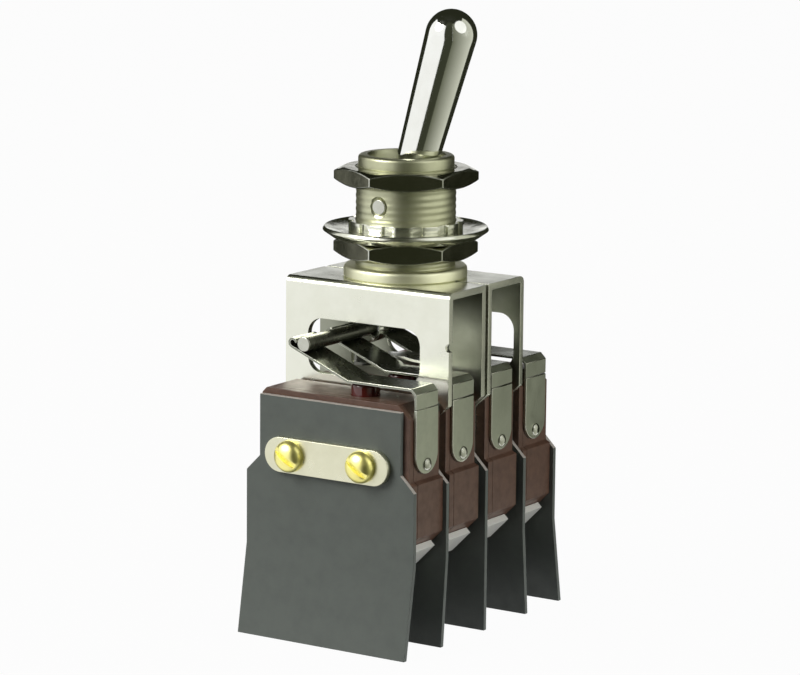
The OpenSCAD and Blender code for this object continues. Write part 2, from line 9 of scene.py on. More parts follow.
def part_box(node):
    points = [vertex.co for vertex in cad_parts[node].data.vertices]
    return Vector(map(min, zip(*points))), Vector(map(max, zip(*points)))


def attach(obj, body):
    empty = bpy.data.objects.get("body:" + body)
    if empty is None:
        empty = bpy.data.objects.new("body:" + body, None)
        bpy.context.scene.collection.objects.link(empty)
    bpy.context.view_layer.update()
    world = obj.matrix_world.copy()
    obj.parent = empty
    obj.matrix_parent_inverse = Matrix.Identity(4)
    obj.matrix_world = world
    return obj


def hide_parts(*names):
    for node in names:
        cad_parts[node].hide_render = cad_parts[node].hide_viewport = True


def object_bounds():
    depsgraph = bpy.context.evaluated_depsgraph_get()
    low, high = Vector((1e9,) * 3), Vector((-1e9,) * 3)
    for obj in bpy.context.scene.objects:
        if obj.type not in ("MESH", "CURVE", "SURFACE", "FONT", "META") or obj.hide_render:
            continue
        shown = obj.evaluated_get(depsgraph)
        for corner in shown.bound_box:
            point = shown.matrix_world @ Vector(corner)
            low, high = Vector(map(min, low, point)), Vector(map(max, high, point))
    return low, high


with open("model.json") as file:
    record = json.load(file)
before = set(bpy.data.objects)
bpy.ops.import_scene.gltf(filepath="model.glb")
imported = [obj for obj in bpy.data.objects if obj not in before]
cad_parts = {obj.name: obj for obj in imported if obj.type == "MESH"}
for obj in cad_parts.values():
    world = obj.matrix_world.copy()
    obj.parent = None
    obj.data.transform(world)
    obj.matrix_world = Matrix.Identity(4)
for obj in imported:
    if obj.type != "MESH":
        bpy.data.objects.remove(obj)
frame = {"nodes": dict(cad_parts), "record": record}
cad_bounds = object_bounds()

# ---------------------------------------------------------------------------
# Stage
# A pale floor under soft studio lamps, seen from the right and a little above, before a
# white background. Dark and grey cards stand and lie round the object. They show only in
# its reflections, where they give the bright metal its dark and grey bands.
# ---------------------------------------------------------------------------
# Degrees round from the object's front, up from level, and of roll
VIEW_AZIMUTH = 33.26
VIEW_ELEVATION = 10.38
VIEW_ROLL = 0.52
# Metres to the point looked at, and how far that lies aside and up on the bushing's axis
VIEW_DISTANCE = 0.43665
VIEW_ASIDE = -0.000567
VIEW_HEIGHT = -0.014233
# Millimetres
VIEW_LENS = 164.98
SENSOR_WIDTH = 36
FLOOR_Z = cad_bounds[0][2]
FLOOR_REACH = 3


def direction(azimuth, elevation):
    """Unit vector away from the object, in degrees round from its front and up."""
    a, e = math.radians(azimuth), math.radians(elevation)
    return Vector((math.sin(a) * math.cos(e), -math.cos(a) * math.cos(e), math.sin(e)))


def add_camera():
    back = direction(VIEW_AZIMUTH, VIEW_ELEVATION)
    level = direction(VIEW_AZIMUTH + 90, 0)
    upright = back.cross(level)
    roll = math.radians(VIEW_ROLL)
    right = level * math.cos(roll) + upright * math.sin(roll)
    up = upright * math.cos(roll) - level * math.sin(roll)
    target = Vector((0, 0, VIEW_HEIGHT)) + right * VIEW_ASIDE
    turn = Matrix((right, up, back)).transposed().to_4x4()
    data = bpy.data.cameras.new("camera")
    data.lens = VIEW_LENS
    data.sensor_width = SENSOR_WIDTH
    data.clip_start = 0.01
    data.clip_end = 20
    camera = bpy.data.objects.new("camera", data)
    bpy.context.scene.collection.objects.link(camera)
    camera.matrix_world = Matrix.Translation(target + back * VIEW_DISTANCE) @ turn
    bpy.context.scene.camera = camera


def rays_of(kinds, nodes, links):
    """A socket that is 1 for light rays of the named kinds and 0 for all others."""
    path = nodes.new("ShaderNodeLightPath")
    total = path.outputs[kinds[0]]
    for kind in kinds[1:]:
        either = nodes.new("ShaderNodeMath")
        either.operation = "ADD"
        either.use_clamp = True
        links.new(total, either.inputs[0])
        links.new(path.outputs[kind], either.inputs[1])
        total = either.outputs[0]
    return total


def add_world():
    """A faint fill for the object, and white for the camera and for reflections."""
    world = bpy.data.worlds.new("studio")
    bpy.context.scene.world = world
    world.use_nodes = True
    nodes, links = world.node_tree.nodes, world.node_tree.links
    nodes.clear()
    fill = nodes.new("ShaderNodeBackground")
    fill.inputs["Color"].default_value = (0.96, 0.98, 1, 1)
    fill.inputs["Strength"].default_value = 0.05
    white = nodes.new("ShaderNodeBackground")
    white.inputs["Color"].default_value = (1, 1, 1, 1)
    white.inputs["Strength"].default_value = 1
    mix = nodes.new("ShaderNodeMixShader")
    out = nodes.new("ShaderNodeOutputWorld")
    seen = rays_of(["Is Camera Ray", "Is Glossy Ray", "Is Transmission Ray"], nodes, links)
    links.new(seen, mix.inputs["Fac"])
    links.new(fill.outputs[0], mix.inputs[1])
    links.new(white.outputs[0], mix.inputs[2])
    links.new(mix.outputs[0], out.inputs["Surface"])


def floor_material():
    """Near white where it is seen, with enough matt colour left to hold the shadow."""
    material = bpy.data.materials.new("floor_white")
    material.use_nodes = True
    nodes, links = material.node_tree.nodes, material.node_tree.links
    nodes.clear()
    share = nodes.new("ShaderNodeMath")
    share.operation = "MULTIPLY"
    share.inputs[1].default_value = 0.97
    matt = nodes.new("ShaderNodeBsdfDiffuse")
    matt.inputs["Color"].default_value = (0.3, 0.3, 0.3, 1)
    glow = nodes.new("ShaderNodeEmission")
    mix = nodes.new("ShaderNodeMixShader")
    out = nodes.new("ShaderNodeOutputMaterial")
    links.new(rays_of(["Is Camera Ray", "Is Glossy Ray"], nodes, links), share.inputs[0])
    links.new(share.outputs[0], mix.inputs["Fac"])
    links.new(matt.outputs[0], mix.inputs[1])
    links.new(glow.outputs[0], mix.inputs[2])
    links.new(mix.outputs[0], out.inputs["Surface"])
    return material


def card_material(name, left, right):
    """A glow that blends from one colour to the other across the card."""
    material = bpy.data.materials.new(name)
    material.use_nodes = True
    nodes, links = material.node_tree.nodes, material.node_tree.links
    nodes.clear()
    place = nodes.new("ShaderNodeTexCoord")
    split = nodes.new("ShaderNodeSeparateXYZ")
    blend = nodes.new("ShaderNodeMix")
    blend.data_type = "RGBA"
    blend.inputs["A"].default_value = (*left, 1)
    blend.inputs["B"].default_value = (*right, 1)
    glow = nodes.new("ShaderNodeEmission")
    out = nodes.new("ShaderNodeOutputMaterial")
    links.new(place.outputs["UV"], split.inputs["Vector"])
    links.new(split.outputs["X"], blend.inputs["Factor"])
    links.new(blend.outputs["Result"], glow.inputs["Color"])
    links.new(glow.outputs[0], out.inputs["Surface"])
    return material


def add_stage_mesh(name, corners, faces, material):
    """Adds a mesh that belongs to the studio and not to the object."""
    mesh = bpy.data.meshes.new(name)
    mesh.from_pydata(corners, [], faces)
    mesh.materials.append(material)
    obj = bpy.data.objects.new(name, mesh)
    bpy.context.scene.collection.objects.link(obj)
    return obj


def show_in_reflections_only(card):
    card.visible_camera = False
    card.visible_diffuse = False
    card.visible_shadow = False
    card.visible_transmission = False


def add_floor():
    corners = [
        (x * FLOOR_REACH, y * FLOOR_REACH, FLOOR_Z)
        for x, y in ((-1, -1), (1, -1), (1, 1), (-1, 1))
    ]
    add_stage_mesh("floor", corners, [range(4)], floor_material())


def add_card(name, azimuths, low, high, left, right):
    """A card curved round the object between two rims, each a distance and a height."""
    steps = 12
    corners = []
    for i in range(steps + 1):
        outward = direction(azimuths[0] + (azimuths[1] - azimuths[0]) * i / steps, 0)
        corners += [outward * distance + Vector((0, 0, z)) for distance, z in (low, high)]
    faces = [(2 * i, 2 * i + 2, 2 * i + 3, 2 * i + 1) for i in range(steps)]
    card = add_stage_mesh(name, corners, faces, card_material(name, left, right))
    across = card.data.uv_layers.new(name="across")
    for loop in card.data.loops:
        step, top = divmod(loop.vertex_index, 2)
        across.data[loop.index].uv = (step / steps, top)
    show_in_reflections_only(card)


def add_round_card(name, azimuth, elevation, centre, distance, size, color):
    """A round card that faces a point of the object."""
    segments = 48
    outward = direction(azimuth, elevation)
    turn = outward.to_track_quat("Z", "Y").to_matrix()
    corners = []
    for i in range(segments):
        t = 2 * math.pi * i / segments
        rim = turn @ Vector((math.cos(t), math.sin(t), 0)) * size / 2
        corners.append(centre + outward * distance + rim)
    material = card_material(name, color, color)
    show_in_reflections_only(add_stage_mesh(name, corners, [range(segments)], material))


def add_lamp(name, azimuth, elevation, distance, size, watts, color):
    outward = direction(azimuth, elevation)
    data = bpy.data.lights.new(name, "AREA")
    data.shape = "DISK"
    data.size = size
    data.energy = watts
    data.color = color
    lamp = bpy.data.objects.new(name, data)
    bpy.context.scene.collection.objects.link(lamp)
    lamp.location = outward * distance
    lamp.rotation_euler = outward.to_track_quat("Z", "Y").to_euler()
    lamp.visible_camera = False


add_camera()
add_world()
add_floor()
DARK = (0.02, 0.022, 0.013)
OLIVE = (0.04, 0.044, 0.027)
GREY = (0.14, 0.148, 0.105)
PALE = (0.62, 0.63, 0.54)
# Distances of the cards from the axis, and heights of their rims, in metres
FRONT, SIDE, BACK, ROOF = 0.16, 0.2, 0.24, 0.3
NEAR_FRONT, NEAR_BACK = 0.03, 0.06
LOW, RAISED, HIGH = FLOOR_Z + 0.0005, 0.045, 0.3
add_card("dark_front", (4, 40), (FRONT, LOW), (FRONT, HIGH), OLIVE, OLIVE)
add_card("dark_front_low", (4, 40), (NEAR_FRONT, LOW), (FRONT, LOW), OLIVE, OLIVE)
add_card("grey_right", (40, 143), (SIDE, LOW), (SIDE, HIGH), GREY, PALE)
add_card("grey_right_low", (40, 143), (NEAR_FRONT, LOW), (SIDE, LOW), GREY, PALE)
add_card("dark_behind", (143, 200), (BACK, LOW), (BACK, HIGH), DARK, DARK)
add_card("dark_behind_low", (143, 276), (NEAR_BACK, LOW), (BACK, LOW), DARK, DARK)
add_card("dark_behind_high", (200, 224), (BACK, RAISED), (BACK, HIGH), DARK, DARK)
add_card("dark_left", (224, 276), (BACK, LOW), (BACK, HIGH), DARK, DARK)
add_card("dark_roof", (0, 360), (0, HIGH), (ROOF, HIGH), DARK, DARK)
add_round_card(
    "round_light", azimuth=84, elevation=36, centre=Vector((0.008, 0, 0.025)),
    distance=0.17, size=0.17, color=(1, 1, 0.97),
)
add_lamp("key", -34, 36, distance=0.8, size=0.5, watts=5.3, color=(1, 0.99, 0.95))
add_lamp("side", 100, 12, distance=0.8, size=0.4, watts=2.9, color=(1, 1, 0.97))
add_lamp("top", 0, 75, distance=0.9, size=0.5, watts=0.9, color=(1, 1, 0.98))
bpy.context.scene.view_settings.view_transform = "Standard"

# ---------------------------------------------------------------------------
# Lever
# A bat handle turned from brass and chromed, in one piece with its ball, the round stem
# below and the flattened eye that holds the actuator bar. It swings on the pivot pin.
# ---------------------------------------------------------------------------
MM = 0.001
BAT_ROOT_R = 4.9 * MM / 2
BAT_TIP_R = 6.1 * MM / 2
BAT_RINGS = 24
# Keeps the rounder tip inside the node's own
TIP_MARGIN = 0.006 * MM
BALL_R = 7 * MM / 2
NECK_HEIGHT = 0.5 * MM
FILLET_WIDTH = 0.06 * MM
FILLET_HEIGHT = 0.2 * MM
STEM_R = 3 * MM / 2
# Degrees up the ball from its widest line: its foot, its neck, and the top of the stem
BALL_FOOT, BALL_NECK, STEM_TOP = -64, 44, -62
# Shares of the arm, down from the pivot
PADDLE_START, STEM_END = 2 / 3, 0.7
EYE_R = 3.6 * MM / 2
PADDLE_WIDTH = 3.2 * MM
PADDLE_THICKNESS = 2.2 * MM
PADDLE_EDGE = 0.2 * MM
SMUDGE_RELIEF = 0.05 * MM


def shader_group(name, inputs, outputs):
    """An empty shader group with named sockets, each given as (name, kind, value)."""
    group = bpy.data.node_groups.new(name, "ShaderNodeTree")
    for socket, kind, value in inputs:
        item = group.interface.new_socket(socket, in_out="INPUT", socket_type="NodeSocket" + kind)
        item.default_value = value
    for socket, kind in outputs:
        group.interface.new_socket(socket, in_out="OUTPUT", socket_type="NodeSocket" + kind)
    return group, group.nodes.new("NodeGroupInput"), group.nodes.new("NodeGroupOutput")


def handling_group():
    """Soft smudges and fine scratches: a tinted colour, a roughness and a height."""
    group, given, out = shader_group(
        "handling",
        [
            ("Color", "Color", (0.8, 0.8, 0.8, 1)),
            ("Tint", "Color", (0.5, 0.5, 0.4, 1)),
            ("Amount", "Float", 0.2),
            ("Roughness", "Float", 0.2),
            ("Spread", "Float", 0.1),
            ("Scale", "Float", 300.0),
        ],
        [("Color", "Color"), ("Roughness", "Float"), ("Height", "Float")],
    )
    nodes, links = group.nodes, group.links
    place = nodes.new("ShaderNodeTexCoord")
    cloud = nodes.new("ShaderNodeTexNoise")
    cloud.inputs["Detail"].default_value = 4
    cloud.inputs["Roughness"].default_value = 0.6
    smudge = nodes.new("ShaderNodeMapRange")
    smudge.inputs["From Min"].default_value = 0.38
    smudge.inputs["From Max"].default_value = 0.68
    share = nodes.new("ShaderNodeMath")
    share.operation = "MULTIPLY"
    tinted = nodes.new("ShaderNodeMix")
    tinted.data_type = "RGBA"
    rougher = nodes.new("ShaderNodeMath")
    rougher.operation = "MULTIPLY_ADD"
    fine_scale = nodes.new("ShaderNodeMath")
    fine_scale.operation = "MULTIPLY"
    fine_scale.inputs[1].default_value = 9
    fine = nodes.new("ShaderNodeTexNoise")
    fine.inputs["Detail"].default_value = 3
    links.new(place.outputs["Object"], cloud.inputs["Vector"])
    links.new(place.outputs["Object"], fine.inputs["Vector"])
    links.new(given.outputs["Scale"], cloud.inputs["Scale"])
    links.new(given.outputs["Scale"], fine_scale.inputs[0])
    links.new(fine_scale.outputs[0], fine.inputs["Scale"])
    links.new(cloud.outputs["Fac"], smudge.inputs["Value"])
    links.new(smudge.outputs["Result"], share.inputs[0])
    links.new(given.outputs["Amount"], share.inputs[1])
    links.new(share.outputs[0], tinted.inputs["Factor"])
    links.new(given.outputs["Color"], tinted.inputs["A"])
    links.new(given.outputs["Tint"], tinted.inputs["B"])
    links.new(smudge.outputs["Result"], rougher.inputs[0])
    links.new(given.outputs["Spread"], rougher.inputs[1])
    links.new(given.outputs["Roughness"], rougher.inputs[2])
    links.new(tinted.outputs["Result"], out.inputs["Color"])
    links.new(rougher.outputs[0], out.inputs["Roughness"])
    links.new(fine.outputs["Fac"], out.inputs["Height"])
    return group


HANDLING = handling_group()


def surface(name, color, tint, amount, roughness, spread, scale, bump, metallic=0.0, coat=0.0):
    """A Principled material with the handling effect in its colour, roughness and bump."""
    material = bpy.data.materials.new(name)
    material.use_nodes = True
    nodes, links = material.node_tree.nodes, material.node_tree.links
    shader = nodes["Principled BSDF"]
    shader.inputs["Metallic"].default_value = metallic
    shader.inputs["Coat Weight"].default_value = coat
    effect = nodes.new("ShaderNodeGroup")
    effect.node_tree = HANDLING
    effect.inputs["Color"].default_value = (*color, 1)
    effect.inputs["Tint"].default_value = (*tint, 1)
    effect.inputs["Amount"].default_value = amount
    effect.inputs["Roughness"].default_value = roughness
    effect.inputs["Spread"].default_value = spread
    effect.inputs["Scale"].default_value = scale
    relief = nodes.new("ShaderNodeBump")
    relief.inputs["Strength"].default_value = bump
    relief.inputs["Distance"].default_value = SMUDGE_RELIEF
    links.new(effect.outputs["Color"], shader.inputs["Base Color"])
    links.new(effect.outputs["Roughness"], shader.inputs["Roughness"])
    links.new(effect.outputs["Height"], relief.inputs["Height"])
    links.new(relief.outputs["Normal"], shader.inputs["Normal"])
    return material


CHROME = surface(
    "chrome", color=(0.93, 0.94, 0.9), tint=(0.6, 0.6, 0.5), amount=0.25,
    roughness=0.07, spread=0.06, scale=180, bump=0.02, metallic=1,
)


def middle(node):
    low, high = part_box(node)
    return (low + high) / 2


def arc(centre, radius, start, end, steps):
    """Points (radius, height) along an arc, from one angle in degrees to another."""
    turns = [math.radians(start + (end - start) * i / steps) for i in range(steps + 1)]
    return [(centre[0] + radius * math.cos(t), centre[1] + radius * math.sin(t)) for t in turns]


def round_point(radius, height, share):
    """The point at a radius and a height, at a share of a turn about Z."""
    turn = 2 * math.pi * share
    return radius * math.cos(turn), radius * math.sin(turn), height


def turned_form(profile, segments, closed=False, place=round_point):
    """A profile of (radius, height) points turned about Z. One on the axis is a pole."""
    bm = bmesh.new()
    rings = []
    for radius, height in profile:
        count = 1 if radius == 0 else segments
        rings.append([bm.verts.new(place(radius, height, i / segments)) for i in range(count)])
    pairs = list(zip(rings, rings[1:]))
    if closed:
        pairs.append((rings[-1], rings[0]))
    for low, high in pairs:
        for i in range(segments):
            j = (i + 1) % segments
            if len(low) == 1:
                bm.faces.new((low[0], high[j], high[i]))
            elif len(high) == 1:
                bm.faces.new((low[i], low[j], high[0]))
            else:
                bm.faces.new((low[i], low[j], high[j], high[i]))
    bmesh.ops.recalc_face_normals(bm, faces=bm.faces)
    return bm


def paddle_form(outline):
    """The flattened end, from an (x, z) outline, with its edges rounded."""
    bm = bmesh.new()
    front = [bm.verts.new((x, -PADDLE_THICKNESS / 2, z)) for x, z in outline]
    back = [bm.verts.new((x, PADDLE_THICKNESS / 2, z)) for x, z in outline]
    bm.faces.new(front)
    bm.faces.new(list(reversed(back)))
    for i in range(len(outline)):
        j = (i + 1) % len(outline)
        bm.faces.new((front[i], back[i], back[j], front[j]))
    bmesh.ops.recalc_face_normals(bm, faces=bm.faces)
    rims = [e for e in bm.edges if e.verts[0].co.y == e.verts[1].co.y]
    bmesh.ops.bevel(
        bm, geom=rims, offset=PADDLE_EDGE, segments=3, profile=0.5, affect="EDGES",
        clamp_overlap=True,
    )
    return bm


def smooth_by_angle(mesh, degrees=32):
    """Smooth faces, with sharp edges where the surface turns by more than the angle."""
    bm = bmesh.new()
    bm.from_mesh(mesh)
    for face in bm.faces:
        face.smooth = True
    for edge in bm.edges:
        turned = len(edge.link_faces) == 2 and edge.calc_face_angle(0) > math.radians(degrees)
        edge.smooth = not turned
    bm.to_mesh(mesh)
    bm.free()


def joined(name, forms, place):
    """One smooth-shaded mesh from several forms, moved to its place."""
    mesh = bpy.data.meshes.new(name)
    whole = bmesh.new()
    for form in forms:
        form.to_mesh(mesh)
        form.free()
        whole.from_mesh(mesh)
    whole.to_mesh(mesh)
    whole.free()
    smooth_by_angle(mesh)
    mesh.transform(place)
    return mesh


def add_piece(node, mesh, *materials):
    """Shows a finished mesh in a node's place, on the node's body."""
    for material in materials:
        mesh.materials.append(material)
    piece = bpy.data.objects.new(node + "_finished", mesh)
    bpy.context.scene.collection.objects.link(piece)
    record = frame["record"]
    bodies = record["behaviour"]["bodies"].items()
    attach(piece, next(body for body, nodes in bodies if node in nodes))
    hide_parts(node)
    return piece


def bat_profile(reach):
    """The turned upper end: the ball, its neck, the tapered bat and the round tip."""
    neck = BALL_R + NECK_HEIGHT
    tip = reach - BAT_TIP_R
    profile = arc((0, 0), BALL_R, BALL_FOOT, BALL_NECK, steps=20)
    profile += [(BAT_ROOT_R + FILLET_WIDTH, BALL_R + FILLET_HEIGHT), (BAT_ROOT_R, neck)]
    for i in range(1, BAT_RINGS):
        share = i / BAT_RINGS
        radius = BAT_ROOT_R + (BAT_TIP_R - BAT_ROOT_R) * share
        profile.append((radius, neck + (tip - neck) * share))
    return profile + arc((0, tip), BAT_TIP_R, 0, 89, steps=22) + [(0, reach)]


def paddle_outline(arm):
    """Straight sides that run into the round eye, an arm's length below the pivot."""
    side = PADDLE_WIDTH / 2
    lean = math.degrees(math.acos(side / EYE_R))
    eye = arc((0, -arm), EYE_R, 180 - lean, 360 + lean, steps=28)
    return [(-side, -arm * PADDLE_START), *eye, (side, -arm * PADDLE_START)]


def lever_mesh():
    """The whole lever about its pivot, leaning as far as the node itself does."""
    pivot = middle("pivot_pin")
    along = pivot - middle("actuator_bar")
    arm, up = along.length, along.normalized()
    lever = frame["nodes"]["lever"]
    heights = [(lever.matrix_world @ v.co - pivot).dot(up) for v in lever.data.vertices]
    bat = turned_form(bat_profile(max(heights) - TIP_MARGIN), segments=96)
    top = BALL_R * math.sin(math.radians(STEM_TOP))
    foot = -STEM_END * arm
    stem = turned_form([(0, foot), (STEM_R, foot), (STEM_R, top)], segments=48)
    lean = Vector((0, 0, 1)).rotation_difference(up).to_matrix().to_4x4()
    forms = [bat, stem, paddle_form(paddle_outline(arm))]
    return joined("lever_form", forms, Matrix.Translation(pivot) @ lean)


add_piece("lever", lever_mesh(), CHROME)

# ---------------------------------------------------------------------------
# Actuator bar and pivot pin
# Two steel rods with rounded rims. The pin is pressed across the bushing and carries the
# lever. The bar is pressed through the lever's eye, and is dark but for its cut ends.
# ---------------------------------------------------------------------------
BAR_EDGE = 0.15 * MM
PIN_EDGE = 0.12 * MM
ALONG_Y = Matrix.Rotation(math.pi / 2, 4, "X")
# Bright steel for the pin, rivets and bar ends, and also a painted highlight on the rounded rims
# of nuts, leaf brackets and leaves.
STEEL_AND_RIM_HIGHLIGHT = surface(
    "bright_steel", color=(0.62, 0.63, 0.56), tint=(0.36, 0.36, 0.3), amount=0.4,
    roughness=0.16, spread=0.12, scale=400, bump=0.1, metallic=1,
)
BAR_STEEL = surface(
    "bar_steel", color=(0.24, 0.245, 0.205), tint=(0.14, 0.14, 0.11), amount=0.4,
    roughness=0.24, spread=0.1, scale=400, bump=0.08, metallic=1,
)


def rod_end(radius, half_length, edge):
    """The profile of a rod's upper end, from the axis out over its rounded rim."""
    return [(0, half_length)] + arc((radius - edge, half_length - edge), edge, 90, 0, steps=6)


def turned_piece(node, profile, turn, material):
    """Shows a turned form, centred on the node's middle, in the node's place."""
    form = turned_form(profile, segments=48)
    mesh = joined(node + "_form", [form], Matrix.Translation(middle(node)) @ turn)
    return add_piece(node, mesh, material)


def rod(node, edge, material):
    """A plain round rod that lies along Y."""
    low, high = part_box(node)
    end = rod_end((high.x - low.x) / 2, (high.y - low.y) / 2, edge)
    return turned_piece(node, end + [(r, -z) for r, z in reversed(end)], ALONG_Y, material)


def refinish(piece, material, chosen):
    """Gives another finish to the faces of a piece that a test picks."""
    piece.data.materials.append(material)
    for face in piece.data.polygons:
        if chosen(face):
            face.material_index = len(piece.data.materials) - 1


bar = rod("actuator_bar", BAR_EDGE, BAR_STEEL)
refinish(bar, STEEL_AND_RIM_HIGHLIGHT, lambda face: abs(face.normal.y) > 0.5)
rod("pivot_pin", PIN_EDGE, STEEL_AND_RIM_HIGHLIGHT)

# ---------------------------------------------------------------------------
# Bushing
# Turned in one piece, threaded and nickel plated, with a keyway cut along its back. Its
# collar stands on the channels, and the spigot below holds them together. The pin's hole
# is drilled across the thread and opened out in a dimple at each end.
# ---------------------------------------------------------------------------
FOOT_Z, RIM_Z = (corner.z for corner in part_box("bushing"))
SEAT_Z = FOOT_Z + 0.8 * MM
SHOULDER_Z = SEAT_Z + 1.4 * MM
PILOT_Z = RIM_Z - 1.5 * MM
BORE_R = 8.7 * MM / 2
THREAD_R = 11.9 * MM / 2
PILOT_R = 11.4 * MM / 2
SPIGOT_R = 11 * MM / 2
COLLAR_R = 14.7 * MM / 2
COLLAR_CHAMFER = 0.15 * MM
# The rounded upper edge of the collar, as millimetres in from its side and down from its top
COLLAR_EDGE = [(0, 0.45), (0.06, 0.22), (0.2, 0.06), (0.42, 0)]
COUNTERSINK = 0.45 * MM
RIM_EDGE = 0.4 * MM
RIM_LEAD = 0.3 * MM
RIM_LEAD_DEPTH = 0.5 * MM
PITCH = 0.8 * MM
THREAD_DEPTH = 0.055 * MM
THREAD_END = 0.12 * MM
RINGS_PER_PITCH = 8
KEYWAY_WIDTH = 1.6 * MM
KEYWAY_FLOOR = THREAD_R - 0.7 * MM
DIMPLE_DEPTH = 0.35 * MM
DIMPLE_REACH = 0.45 * MM
PIN_AIR = 0.005 * MM
HOLE_OVERRUN = 1 * MM
CUT_SCALE = 1000
BUSHING_NICKEL = surface(
    "bushing_nickel", color=(0.52, 0.53, 0.37), tint=(0.34, 0.34, 0.21), amount=0.4,
    roughness=0.33, spread=0.1, scale=260, bump=0.15, metallic=1,
)
COLLAR_NICKEL = surface(
    "collar_nickel", color=(0.76, 0.76, 0.55), tint=(0.5, 0.5, 0.34), amount=0.3,
    roughness=0.4, spread=0.1, scale=260, bump=0.15, metallic=1,
)


def bushing_profile():
    """Up the outside from the spigot to the rim, and down the bore."""
    rings = round((PILOT_Z - SHOULDER_Z) / PITCH * RINGS_PER_PITCH)
    thread = [SHOULDER_Z + (PILOT_Z - SHOULDER_Z) * i / rings for i in range(1, rings)]
    return [
        (BORE_R + COUNTERSINK, FOOT_Z),
        (SPIGOT_R, FOOT_Z),
        (SPIGOT_R, SEAT_Z),
        (COLLAR_R - COLLAR_CHAMFER, SEAT_Z),
        (COLLAR_R, SEAT_Z + COLLAR_CHAMFER),
        *((COLLAR_R - inward * MM, SHOULDER_Z - down * MM) for inward, down in COLLAR_EDGE),
        (THREAD_R, SHOULDER_Z),
        *((THREAD_R, height) for height in thread),
        (THREAD_R, PILOT_Z),
        (PILOT_R, PILOT_Z + THREAD_END),
        *arc((PILOT_R - RIM_EDGE, RIM_Z - RIM_EDGE), RIM_EDGE, 0, 90, steps=6),
        (BORE_R + RIM_LEAD, RIM_Z),
        (BORE_R, RIM_Z - RIM_LEAD_DEPTH),
        (BORE_R, SEAT_Z),
    ]


def threaded_point(radius, height, share):
    """A point of the bushing, let in for the helical thread and for the keyway."""
    if SHOULDER_Z < height < PILOT_Z:
        phase = (height / PITCH - share) % 1
        radius -= THREAD_DEPTH * (0.5 - 0.5 * math.cos(2 * math.pi * phase))
    x, y, z = round_point(radius, height, share)
    if z >= SHOULDER_Z and radius > KEYWAY_FLOOR and abs(x) < KEYWAY_WIDTH / 2:
        y = min(y, KEYWAY_FLOOR)
    return x, y, z


def pin_hole():
    """The hole for the pivot pin, with its dimples, as a solid to cut out."""
    low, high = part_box("pivot_pin")
    radius = (high.z - low.z) / 2
    mouth = radius + DIMPLE_REACH
    beyond = THREAD_R + HOLE_OVERRUN
    end = [(0, beyond), (mouth, beyond), (mouth, THREAD_R)]
    end.append((radius + PIN_AIR, THREAD_R - DIMPLE_DEPTH))
    form = turned_form([(r, -z) for r, z in end] + end[::-1], segments=48)
    return joined("pin_hole", [form], Matrix.Translation(middle("pivot_pin")) @ ALONG_Y)


def cut_out(mesh, tool_mesh):
    """The mesh less the tool, cut while enlarged because the solver needs the scale."""
    solid, tool = (bpy.data.objects.new(m.name, m) for m in (mesh, tool_mesh))
    for obj in (solid, tool):
        obj.data.transform(Matrix.Scale(CUT_SCALE, 4))
        bpy.context.scene.collection.objects.link(obj)
    cut = solid.modifiers.new("cut", "BOOLEAN")
    cut.operation = "DIFFERENCE"
    cut.solver = "EXACT"
    cut.object = tool
    shaped = solid.evaluated_get(bpy.context.evaluated_depsgraph_get())
    result = bpy.data.meshes.new_from_object(shaped)
    result.transform(Matrix.Scale(1 / CUT_SCALE, 4))
    for obj in (solid, tool):
        bpy.data.objects.remove(obj)
    return result


def on_collar(face):
    outside = math.hypot(face.center.x, face.center.y) > THREAD_R
    return outside and face.center.z < SHOULDER_Z + PITCH / RINGS_PER_PITCH / 4


turned = turned_form(bushing_profile(), segments=120, closed=True, place=threaded_point)
drilled = cut_out(joined("bushing_form", [turned], Matrix.Identity(4)), pin_hole())
smooth_by_angle(drilled, degrees=40)
bushing = add_piece("bushing", drilled, BUSHING_NICKEL)
refinish(bushing, COLLAR_NICKEL, on_collar)

# ---------------------------------------------------------------------------
# Panel nuts, locating ring and lock washer
# Two thin hexagonal nuts, nickel plated, go on the bushing's thread. Their rounded edges
# are painted brighter, a painted highlight. The dished ring and the toothed washer are
# stamped from bright plated steel.
# ---------------------------------------------------------------------------
NUT_EDGE = 0.28 * MM
RING_EDGE = 0.1 * MM
WASHER_EDGE = 0.08 * MM
NUT_NICKEL = surface(
    "nut_nickel", color=(0.4, 0.4, 0.3), tint=(0.25, 0.25, 0.17), amount=0.35,
    roughness=0.12, spread=0.08, scale=300, bump=0.06, metallic=1,
)
RING_STEEL = surface(
    "ring_steel", color=(0.8, 0.81, 0.7), tint=(0.4, 0.4, 0.3), amount=0.35,
    roughness=0.15, spread=0.1, scale=350, bump=0.08, metallic=1,
)


def rounded_mesh(node, edge, least_turn, edge_slot):
    """The node's own form, with its flat faces joined up and its sharp edges rounded."""
    bm = bmesh.new()
    bm.from_mesh(frame["nodes"][node].data)
    bmesh.ops.remove_doubles(bm, verts=bm.verts, dist=1e-7)
    bmesh.ops.dissolve_limit(
        bm, angle_limit=math.radians(0.5), verts=bm.verts, edges=bm.edges, delimit={"NORMAL"}
    )
    sharp = [
        e for e in bm.edges
        if len(e.link_faces) == 2 and e.calc_face_angle(0) > math.radians(least_turn)
    ]
    bmesh.ops.bevel(
        bm, geom=sharp, offset=edge, segments=2, profile=0.5, affect="EDGES",
        clamp_overlap=True, material=edge_slot, miter_outer="ARC",
    )
    mesh = bpy.data.meshes.new(node + "_form")
    bm.to_mesh(mesh)
    bm.free()
    smooth_by_angle(mesh)
    return mesh


def rounded_piece(node, edge, *materials, least_turn=25):
    """Shows a node with rounded edges, which take the last of its finishes."""
    mesh = rounded_mesh(node, edge, least_turn, len(materials) - 1)
    piece = add_piece(node, mesh, *materials)
    flat_faces = piece.modifiers.new("flat_faces", "WEIGHTED_NORMAL")
    flat_faces.weight = 100
    flat_faces.keep_sharp = True
    return piece


